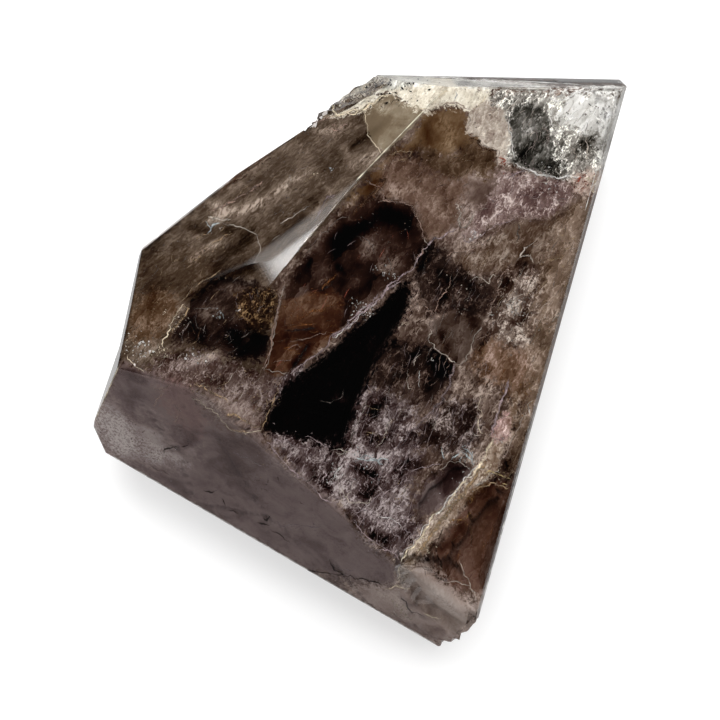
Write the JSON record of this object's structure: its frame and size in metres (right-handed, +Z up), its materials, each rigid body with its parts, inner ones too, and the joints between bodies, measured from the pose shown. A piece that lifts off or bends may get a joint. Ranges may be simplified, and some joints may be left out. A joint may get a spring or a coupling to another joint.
{
  "type": "polished quartz crystal point",
  "caption": "Free-form polished point of smoky and amethyst super seven quartz with a clear tip, lying on one polished side.",
  "frame": {"origin": "on the table, under the middle of the stone's bounding box as it lies", "axes": "+Z up out of the resting face; +Y to the long side that holds the clear tip, +X to the stone's right as it lies in the picture, so the tip is at +X +Y and the sawn base end faces -X -Y"},
  "size_m": [0.0642, 0.0704, 0.0344],
  "materials": {
    "quartz": "polished faces, rough unpolished skin at one edge and a shell-shaped break at one corner; the stone is clear where nothing is inside it and smoky brown, mauve and milky where inclusions fill it"
  },
  "bodies": {
    "root": {"quartz_point": "quartz"}
  },
  "joints": []
}
